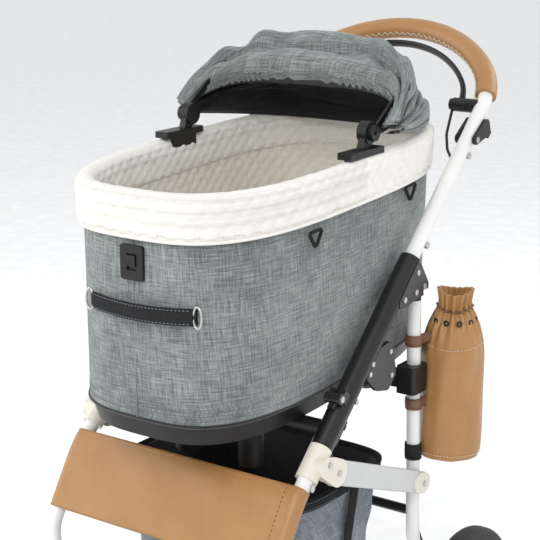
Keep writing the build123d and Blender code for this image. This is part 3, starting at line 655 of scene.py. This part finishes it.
def cushion():
    """Boxed pad with quilted top, blown up between its seams."""
    rows = []
    box = ((0.5952, -0.06), (0.5952, -0.024), (0.598, -0.0165),
           (0.606, -0.0145), (0.615, -0.0155), (0.620, -0.021))
    for level, grow in box:
        rows.append(cot_ring(level, grow, count=144))
    for grow in np.linspace(-0.03, -0.165, 12):
        lift = 0.0012 * (1 - (grow + 0.03) / -0.135) + 0.0205
        rows.append(cot_ring(0.600 + lift, grow, count=144))
    piece = grid("cushion", rows, QUILT, closed=True)
    bpy.context.view_layer.objects.active = piece
    piece.select_set(True)
    bpy.ops.object.modifier_apply(modifier="weld")
    inflate(piece, 0.8, 0.003)
    return piece


pad = fit(cushion(), "cot", ["cot_cushion"])

# %% [markdown]
# ## The hood, folded back
# Points of the hood are given by an angle above the horizontal and a reach from the hinge axis. The
# front canopy hangs from the front bow, the rear one from the mid bow, and both bunch up where they meet
# the clamps.

# %% An arch of the hood
HALF = 0.185


def hood_point(t, angle, reach, half=HALF, power=3.0):
    """Point of an arch that stands on the hinge axis, t from 0 at one clamp to pi at the other."""
    x = half * np.abs(np.cos(t)) ** (2 / power) * np.sign(np.cos(t))
    r = reach * np.abs(np.sin(t)) ** (2 / power)
    return np.stack([x, HOOD_Y + r * np.cos(angle), HOOD_Z + r * np.sin(angle)], axis=-1)


ARCH = np.linspace(0.035, pi - 0.035, 201)
STATIONS = 84


# %% Folded cloth between stations
def canopy(name, profile, look, shrink, seed, gather):
    """Cloth through (angle in degrees, reach) stations, with folds that gather at the clamps."""
    line = np.array(profile, float)
    at = np.linspace(0, len(line) - 1, STATIONS)
    angle = np.radians(np.interp(at, np.arange(len(line)), line[:, 0]))
    reach = np.interp(at, np.arange(len(line)), line[:, 1])
    for _ in range(5):
        angle[1:-1] = (angle[:-2] + 2 * angle[1:-1] + angle[2:]) / 4
        reach[1:-1] = (reach[:-2] + 2 * reach[1:-1] + reach[2:]) / 4
    near_clamp = np.exp(-np.sin(ARCH) / 0.35)
    crumple = np.exp(-ARCH / 0.5)  # the +X end is pushed up more
    rows = []
    for k, (phi, far) in enumerate(zip(angle, reach)):
        along = k / (STATIONS - 1)
        where = np.stack([ARCH * 1.3, np.full_like(ARCH, 2 * along)], axis=1)
        fold = noise(where, seed, 8, 0.5, 2.2)
        pleat = np.sin(along * 2 * pi * 6 + 2 * fold)
        loose = np.sin(pi * along)
        r = far - shrink + 0.0055 * fold * loose + 0.009 * pleat * near_clamp * loose
        lean = phi + (0.045 * fold + 0.06 * near_clamp * pleat) * gather * loose
        bulge = 0.016 * near_clamp ** 0.5 + (0.006 + 0.005 * crumple) * near_clamp * pleat
        half = HALF - shrink + loose ** 0.6 * bulge
        rows.append(hood_point(ARCH, lean, r, half, 3.3))
    return grid(name, rows, look, thick=0.0012)


# %% Front and rear canopies, and their linings
FRONT_PROFILE = [(26, 0.121), (34, 0.123), (40, 0.131), (42, 0.142), (39, 0.151), (35.5, 0.156),
                 (37.5, 0.163), (42.5, 0.170), (44, 0.181), (41, 0.193), (35.5, 0.200), (28, 0.207),
                 (21, 0.211), (16, 0.206), (13, 0.200), (12, 0.207)]
REAR_PROFILE = [(12, 0.209), (11, 0.218), (9, 0.236), (5, 0.249), (0, 0.252), (-4, 0.243), (-7, 0.232)]
front_canopy = canopy("hood_front_canopy", FRONT_PROFILE, LINEN, 0.0, 5, 1.0)
rear_canopy = canopy("hood_rear_canopy", REAR_PROFILE, LINEN, 0.0, 6, 0.7)
FRONT_LINING = [(23, 0.119), (28, 0.124), (32, 0.140), (35, 0.158), (35.5, 0.174), (32, 0.187), (26, 0.197),
                (20, 0.202), (15, 0.198), (12.5, 0.194)]
front_lining = canopy("hood_front_lining", FRONT_LINING, NYLON, 0.002, 5, 0.5)
rear_lining = canopy("hood_rear_lining", REAR_PROFILE, NYLON, 0.004, 6, 0.7)


for cloth in (front_canopy, front_lining):
    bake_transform(cloth)
for cloth in (rear_canopy, rear_lining):
    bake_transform(cloth)
for cloth, node in ((front_canopy, "canopy_front"), (rear_canopy, "canopy_rear")):
    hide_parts(node)


# %% [markdown]
# Elastic gathers the hood's front edge into a ruffle: a narrow band whose swell mixes two quick waves.

# %% The ruffled hem
def ruffled_hem():
    """Elasticated front edge: a narrow gathered band."""
    t = np.linspace(0.05, pi - 0.05, 900)
    rows = []
    for across in np.linspace(-1, 1, 7):
        waves = np.sin(t * 71 + 3 * np.sin(t * 9)) + 0.6 * np.sin(t * 117 + 2 * np.sin(t * 17))
        swell = waves * 0.0009 * (1 - 0.4 * across * across)
        lean = np.radians(28.5 + across * 4.2) + swell * 14
        rows.append(hood_point(t, lean, 0.121 + across * 0.001 + swell, HALF - 0.001 + swell, 3.3))
    return grid("hood_ruffled_hem", rows, LINEN, thick=0.002)


fit(ruffled_hem(), "hood_front")

# %% [markdown]
# ## Front trim
# The carry strap is flat webbing that bows out from the cot between two steel rings. Its face is a
# shallow curve in plan, so the same curve places its stitching.

# %% Carry strap
STRAP_Z, STRAP_THICK = 0.729, 0.0016


def strap_line(t, base):
    """Plan of the strap, t from -1 to 1 along it: x, and y at its face."""
    return 0.0105 + 0.0905 * t, base + 0.0215 * t * t + 0.005 * t ** 3


def strap():
    """Webbing handle: rows across its front face, then back across its rear face."""
    t = np.linspace(-1, 1, 60)
    x, y = strap_line(t, -0.3315)
    y = y + 0.0015 * np.abs(t) ** 8
    across = np.linspace(-1, 1, 14)
    height = STRAP_Z + 0.0125 * across
    edge = STRAP_THICK * (1 - across ** 8)
    front = [np.stack([x, y - e, z + 0 * x], axis=1) for e, z in zip(edge, height)]
    back = [row + np.array([0, 2 * e + 0.0004, 0]) for row, e in zip(front[::-1], edge[::-1])]
    return fit(grid("carry_handle", front + back, WEBBING), "cot", ["carry_strap"])


strap()
for k, across in enumerate((-0.0095, 0.0095)):
    x, y = strap_line(np.linspace(-0.9, 0.9, 60), -0.3336)
    fit(stitches(f"carry_stitch_{k}", np.stack([x, y, STRAP_Z + across + 0 * x], axis=1), GREY_THREAD), "cot")


def end_ring(side, x, y):
    """Oval steel ring at one end of the strap."""
    turn = np.linspace(0, 2 * pi, 33)[:-1]
    across, height = 0.007 * np.cos(turn), 0.0155 * np.sin(turn)
    path = np.stack([x + across, np.full_like(turn, y), STRAP_Z + height], axis=1)
    return tube(f"strap_ring_{side}", path, 0.0017, STEEL, closed=True)


rings = [end_ring("left", -0.083, -0.3145), end_ring("right", 0.104, -0.3060)]
fit(joined("strap_rings", rings), "cot")


# %% Tether loops
def tether(side, y, z):
    """Triangular webbing loop sewn to the wall."""
    outer = np.array([(-0.020, 0.010), (0.020, 0.012), (0.0, -0.018)])
    corners = []
    for k in range(3):
        here, after = outer[k], outer[(k + 1) % 3]
        corners += [here + (after - here) * w for w in (0.12, 0.5, 0.88)]
    loop = np.array(corners) * 0.86
    x = side * 0.1792
    path = np.stack([np.full(9, x), y + loop[:, 0], z + loop[:, 1]], axis=1)
    return tube("tether_part", path, 0.0026, WEBBING, closed=True)


loops = [tether(side, y, z) for side in (-1, 1) for y, z in ((-0.129, 0.818), (0.136, 0.841))]
fit(joined("tether_webbing", loops), "cot", ["tether_loops"])

# %% [markdown]
# ## Basket
# A cloth tub with soft corners that sags between the webbing at its rim and the straps on the legs. Its
# sections are superellipses too, with slow folds and a droop along each side.

# %% Sections of the basket
def basket_ring(level, grow, sag):
    top, bottom = 0.421, 0.262
    f = (level - bottom) / (top - bottom)
    half = 0.160 + f * 0.021 + grow
    front, rear = -0.158 - f * 0.018 - grow, 0.092 + f * 0.009 + grow
    t = np.linspace(0, 2 * pi, 240, endpoint=False)
    c, s = np.cos(t), np.sin(t)
    x = half * np.abs(c) ** 0.36 * np.sign(c)
    y = (front + rear) / 2 + (rear - front) / 2 * np.abs(s) ** 0.36 * np.sign(s)
    where = np.stack([c * 1.6, s * 1.6, np.full_like(c, f * 1.2)], axis=1)
    fold = noise(where, 21, 8, 0.6, 2.6)
    pull = 1 - (0.022 * sag + 0.02 * fold * sag)
    droop = -0.006 * sag * np.abs(np.sin(2 * t))
    return np.stack([x * pull, (y + 0.03) * pull - 0.03, level + droop * f + 0 * t], axis=1)


# %% The basket's cloth, lining and rim
def basket_cloth():
    levels = np.linspace(0.264, 0.415, 26)
    rows = [basket_ring(0.266 + 0.004 * k / 8, -0.145 + 0.0175 * k, 0.0) for k in range(8)]
    rows += [basket_ring(z, 0.0, np.sin(pi * (z - 0.262) / 0.16)) for z in levels]
    return grid("basket_cloth", rows, DENIM, closed=True, thick=0.0022)


fit(basket_cloth(), "chassis", ["basket"])
lining = [basket_ring(z, -0.0032, np.sin(pi * (z - 0.262) / 0.16)) for z in np.linspace(0.270, 0.414, 20)]
fit(grid("basket_lining", lining, NYLON, closed=True), "chassis")
RIM_BAND = ((0.402, 0.0012), (0.4025, 0.003), (0.4205, 0.003),
            (0.4215, 0.0005), (0.4205, -0.003), (0.402, -0.003))
rim_rows = [basket_ring(z, g, 0.0) for z, g in RIM_BAND]
fit(grid("basket_rim_webbing", rim_rows, WEBBING, closed=True), "chassis")
rim_lines = [stitches(f"rim_{z}", basket_ring(z, 0.0034, 0.0), GREY_THREAD) for z in (0.4055, 0.4175)]
fit(joined("basket_rim_stitching", rim_lines), "chassis")


# %% Bands round the rear legs
def leg_collar(name, side, z0, z1, look, radius=0.0135):
    """Band of strap round a rear leg."""
    t = np.linspace(0, 2 * pi, 40, endpoint=False)
    rows = []
    inner, middle = radius - 0.0018, ((z0 + z1) / 2, radius + 0.0004)
    for z, r in ((z0, inner), (z0, radius), middle, (z1, radius), (z1, inner)):
        y = 0.114 + (0.676 - z) / 0.414 * 0.014
        rows.append(np.stack([side * TUBE_X + r * np.cos(t), y + r * np.sin(t), np.full_like(t, z)], axis=1))
    return grid(name, rows, look, closed=True)


leg_loops = [leg_collar(f"loop_{side}", side, 0.411, 0.437, WEBBING) for side in (-1, 1)]
fit(joined("basket_leg_loops", leg_loops), "chassis")


# %% Flat straps
def ribbon(name, path, across, half, thick, look):
    """Flat strap along a path, wide along one direction."""
    path = np.asarray(path, float)
    across = np.asarray(across, float)
    out = unit(np.cross(tangents(path), across))
    section = [(-1, 0), (-0.94, 1), (0, 1.15), (0.94, 1), (1, 0), (0.94, -1), (0, -1.15), (-0.94, -1)]
    rows = [path + across * half * a + out * thick / 2 * b for a, b in section]
    return grid(name, np.array(rows + rows[:1]), look)


hangers = []
for side in (-1, 1):
    drop = np.linspace(0, 1, 24)[:, None]
    start, end = np.array([side * 0.186, -0.020, 0.425]), np.array([side * 0.169, -0.028, 0.270])
    path = start + (end - start) * drop
    hangers.append(ribbon(f"basket_strap_{side}", path, (0, 1, 0), 0.011, 0.0022, WEBBING))
fit(joined("basket_side_straps", hangers), "chassis")

# %% [markdown]
# ## Leather front panel
# A sleeve of hide is wrapped round both front tubes and down over their bend. Its section is a flat band
# with two round ends, and each row of that section stands on one point of the centre line.

# %% The panel's centre line
def panel_line():
    """Along the tubes, round a soft bend (a quadratic curve), then steeper."""
    start, corner, end = np.array(rake(-0.279)), np.array(rake(-0.300)), np.array((-0.2692, 0.363))
    enter, leave = corner + (start - corner) * 0.9, corner + (end - corner) * 0.24
    t = np.linspace(0, 1, 14)[:, None]
    bend = (1 - t) ** 2 * enter + 2 * t * (1 - t) * corner + t * t * leave
    path = np.vstack([start, bend, end])
    return resample(np.column_stack([np.zeros(len(path)), path]), 0.0205 / 7)


# %% The sleeve
def leather_sleeve():
    """Rows of the sleeve's section; the round ends take the part of each row past the flat band."""
    path = resample(panel_line(), 0.004)
    out = np.cross(tangents(path), (1, 0, 0))
    t = np.linspace(0, 2 * pi, 361)[:-1]
    half, deep, spread = 0.2165, 0.0142, 1.35
    flat = half - deep
    c = np.cos(t)
    end = np.abs(spread * half * c) > flat
    turn = np.where(end, np.arctan2(np.sin(t), (np.abs(c) - flat / half / spread) / 0.28), 0)
    x = np.clip(half * spread * c, -flat, flat)
    wide = np.where(end, np.sign(c) * (flat + deep * np.cos(turn)), x)
    rows = []
    for k, (centre, normal) in enumerate(zip(path, out)):
        v = k / (len(path) - 1)
        side = np.where(end, deep * np.sin(turn), deep * np.sign(np.sin(t)))
        where = np.stack([x * 6, np.full_like(t, v * 1.5)], axis=1)
        slack = (1 - (x / flat) ** 4) * np.sin(pi * v) ** 0.5
        side = side * (1 - 0.18 * slack) + noise(where, 31, 6, 0.5, 1.8) * 0.0012 * slack
        hem = 0.0007 * (np.exp(-((v - 0.035) / 0.012) ** 2) + np.exp(-((v - 0.965) / 0.012) ** 2))
        side = side + np.sign(side) * (0.0006 - hem)
        rows.append(np.stack([wide, centre[1] + normal[1] * side, centre[2] + normal[2] * side], axis=1))
    return grid("leather_front_panel", rows, TAN, closed=True, thick=0.0018), np.array(rows)


panel, panel_rows = leather_sleeve()
fit(panel, "chassis", ["leather_panel"])
edge_stitch = []
for half_turn, columns in enumerate((slice(0, 180), slice(180, 360))):
    nearest = int(np.argmin(np.abs(panel_rows[5, columns, 0] - 0.188))) + 180 * half_turn
    edge = panel_rows[:, nearest] * 1.0012
    edge_stitch.append(stitches(f"panel_side_{half_turn}", edge, BROWN, 0.007, 0.0035))
fit(joined("panel_stitching", edge_stitch), "chassis")

# %% [markdown]
# ## Drawstring bag
# A soft hide pouch hangs on one rear leg. Its outline is turned about its own axis, pleats deepen
# towards the drawn neck, and slow noise dents the body.

# %% Sections of the bag
BAG = np.array([0.2325, 0.187])
BAG_OUTLINE = np.array([(0.4055, 0.030), (0.405, 0.040), (0.409, 0.047), (0.424, 0.0505), (0.480, 0.0508),
                        (0.540, 0.0500), (0.580, 0.0485), (0.604, 0.0450), (0.624, 0.0385), (0.640, 0.0305),
                        (0.650, 0.0245), (0.660, 0.0230), (0.671, 0.0250), (0.681, 0.0275)])


def bag_ring(z, r, shrink=0.0, count=220):
    t = np.linspace(0, 2 * pi, count, endpoint=False)
    f = (z - 0.405) / 0.277
    gather = np.exp(-((f - 0.90) / 0.16) ** 2)
    pleat = np.sin(15 * t + 1.2 * np.sin(3 * t)) * 0.0034 * gather
    where = np.stack([np.cos(t) * 0.9, np.sin(t) * 0.9, np.full_like(t, f * 1.4)], axis=1)
    soft = noise(where, 41, 8, 0.5, 2.0) * 0.0022 * (1 - gather)
    radius = r - shrink + pleat + soft
    lean = 0.004 * f
    x, y = BAG[0] + lean + radius * np.cos(t), BAG[1] + radius * np.sin(t)
    return np.stack([x, y, z + 0.0035 * f * np.sin(2 * t + 0.7)], axis=1)


# %% The pouch, its stitching, cord, eyelets and straps
def bag_shell():
    at = np.linspace(0, len(BAG_OUTLINE) - 1, 84)
    z = np.interp(at, np.arange(len(BAG_OUTLINE)), BAG_OUTLINE[:, 0])
    r = np.interp(at, np.arange(len(BAG_OUTLINE)), BAG_OUTLINE[:, 1])
    for _ in range(4):
        r[1:-1] = (r[:-2] + 2 * r[1:-1] + r[2:]) / 4
    rows = [bag_ring(0.4058, s * 0.030) for s in (0.02, 0.5)]
    rows += [bag_ring(a, b) for a, b in zip(z, r)]
    rows += [bag_ring(a, b, 0.0022) for a, b in zip(z[::-1][:34], r[::-1][:34])]
    return fit(grid("leather_bag", rows, TAN_SOFT, closed=True), "chassis", ["drawstring_bag"])


bag_shell()
def bag_seam(name, z, radius):
    """Stitching all the way round the bag."""
    ring = bag_ring(z, radius)
    return stitches(name, np.append(ring, ring[:1], axis=0), THREAD)


seams = [bag_seam("bag_shoulder", 0.5955, 0.0472), bag_seam("bag_foot", 0.417, 0.0503)]
fit(joined("bag_stitching", seams), "chassis")
drawcord = tube("bag_drawcord", bag_ring(0.6530, 0.0255), 0.0018, BROWN, closed=True)
fit(drawcord, "chassis", ["bag_drawstring"])
turn = np.linspace(0, 2 * pi, 33)[:-1]
eyelets = []
for k, angle in enumerate((-2.05, -1.45, -0.85, -0.25, 0.35)):
    out = np.array([cos(angle), sin(angle), 0.0])
    side = np.array([-sin(angle), cos(angle), 0.0])
    centre = np.array([BAG[0] + 0.003, BAG[1], 0.634]) + out * 0.0352
    path = centre + 0.0036 * (np.cos(turn)[:, None] * side + np.sin(turn)[:, None] * np.array([0, 0, 1]))
    eyelets.append(tube(f"eyelet_{k}", path, 0.0013, BLACK, closed=True))
fit(joined("bag_eyelets", eyelets), "chassis")
straps = []
for k, z in enumerate((0.610, 0.505)):
    straps.append(leg_collar(f"bag_collar_{k}", 1, z - 0.009, z + 0.009, BROWN))
    path = np.linspace((0.208, 0.126, z), (0.216, 0.146, z), 8)
    straps.append(ribbon(f"bag_tab_{k}", path, (0, 0, 1), 0.008, 0.004, BROWN))
fit(joined("bag_straps", straps), "chassis")

# %% [markdown]
# ## Whip stitch along the leather grip
# The hide on the handle is laced along its inner side. The thread is one tube that steps between two
# angles round the grip, so it zigzags along the handle's arch.

# %% The lacing
def grip_line(count, trim):
    """Centre line of the handle's arch: two corner arcs joined by a flatter crown arc."""
    span, rise, corner = TUBE_X, 0.160, 0.125
    reach, low = span - corner, rise - corner
    drop = (reach ** 2 - low ** 2) / (2 * low)
    crown = degrees(np.arctan(drop / reach))
    corner_turns = np.radians(np.linspace(trim, crown, count // 3))
    crown_turns = np.radians(np.linspace(crown, 180 - crown, count // 3))
    right = [(reach + corner * cos(a), corner * sin(a)) for a in corner_turns]
    big = rise + drop
    top = [(big * cos(a), big * sin(a) - drop) for a in crown_turns]
    left = [(-x, s) for x, s in right[::-1]]
    return np.array([(x, *rake(0.430 + s)) for x, s in right + top[1:-1] + left])


def whip_stitch():
    """Zigzag thread on the grip's surface: odd and even points lie at two angles round it."""
    path = resample(grip_line(240, 8), 0.006)
    out_of_plane = np.array([0, -sin(RAKE), cos(RAKE)])
    inward = np.cross(tangents(path), out_of_plane)
    inward *= np.sign(np.sum(inward * (np.array([0, *rake(0.46)]) - path), axis=1))[:, None]
    lift = np.where(np.arange(len(path)) % 2, 0.42, 0.12)[:, None]
    zigzag = path + unit(inward * np.cos(lift) + out_of_plane * np.sin(lift)) * (GRIP_R + 0.0004)
    return tube("grip_whip_stitch", zigzag, 0.0009, THREAD, sides=6)


fit(whip_stitch(), "upper_frame")

# %% [markdown]
# ## Camera, light and floor
# A long lens stands a little above the rim, to the front and right. Two soft lamps, a weaker one behind
# and a pale world give even light on a pale floor.

# %% Camera
camera = bpy.data.objects.new("camera", bpy.data.cameras.new("camera"))
camera.data.lens, camera.data.sensor_width = 100, 36
target = Vector((0.0193, -0.0143, 0.7229))
azimuth, elevation, distance = radians(35.15), radians(14.44), 2.3198
away = Vector((sin(azimuth) * cos(elevation), -cos(azimuth) * cos(elevation), sin(elevation)))
camera.location = target + away * distance
camera.rotation_euler = (-away).to_track_quat("-Z", "Y").to_euler()
bpy.context.collection.objects.link(camera)
bpy.context.scene.camera = camera

# %% Floor and lamps
floor = mesh_piece("floor", [(-60, -60, 0), (60, -60, 0), (60, 60, 0), (-60, 60, 0)], [(0, 1, 2, 3)],
                   material("pale_floor", paint((0.93, 0.93, 0.925), 0.9, 0.0)))


def lamp(name, place, size, power):
    light = bpy.data.objects.new(name, bpy.data.lights.new(name, "AREA"))
    light.data.size, light.data.energy = size, power
    light.location = place
    light.rotation_euler = (target - Vector(place)).to_track_quat("-Z", "Y").to_euler()
    bpy.context.collection.objects.link(light)


lamp("key", (1.2, -3.0, 3.2), 2.2, 70)
lamp("fill", (-3.0, -1.6, 1.8), 2.6, 45)
lamp("back", (1.5, 2.8, 2.6), 2.0, 40)
world = bpy.data.worlds.new("studio")
world.use_nodes = True
world.node_tree.nodes["Background"].inputs[0].default_value = (0.97, 0.98, 1.0, 1)
world.node_tree.nodes["Background"].inputs[1].default_value = 0.9
bpy.context.scene.world = world
bpy.context.scene.view_settings.view_transform = "Standard"
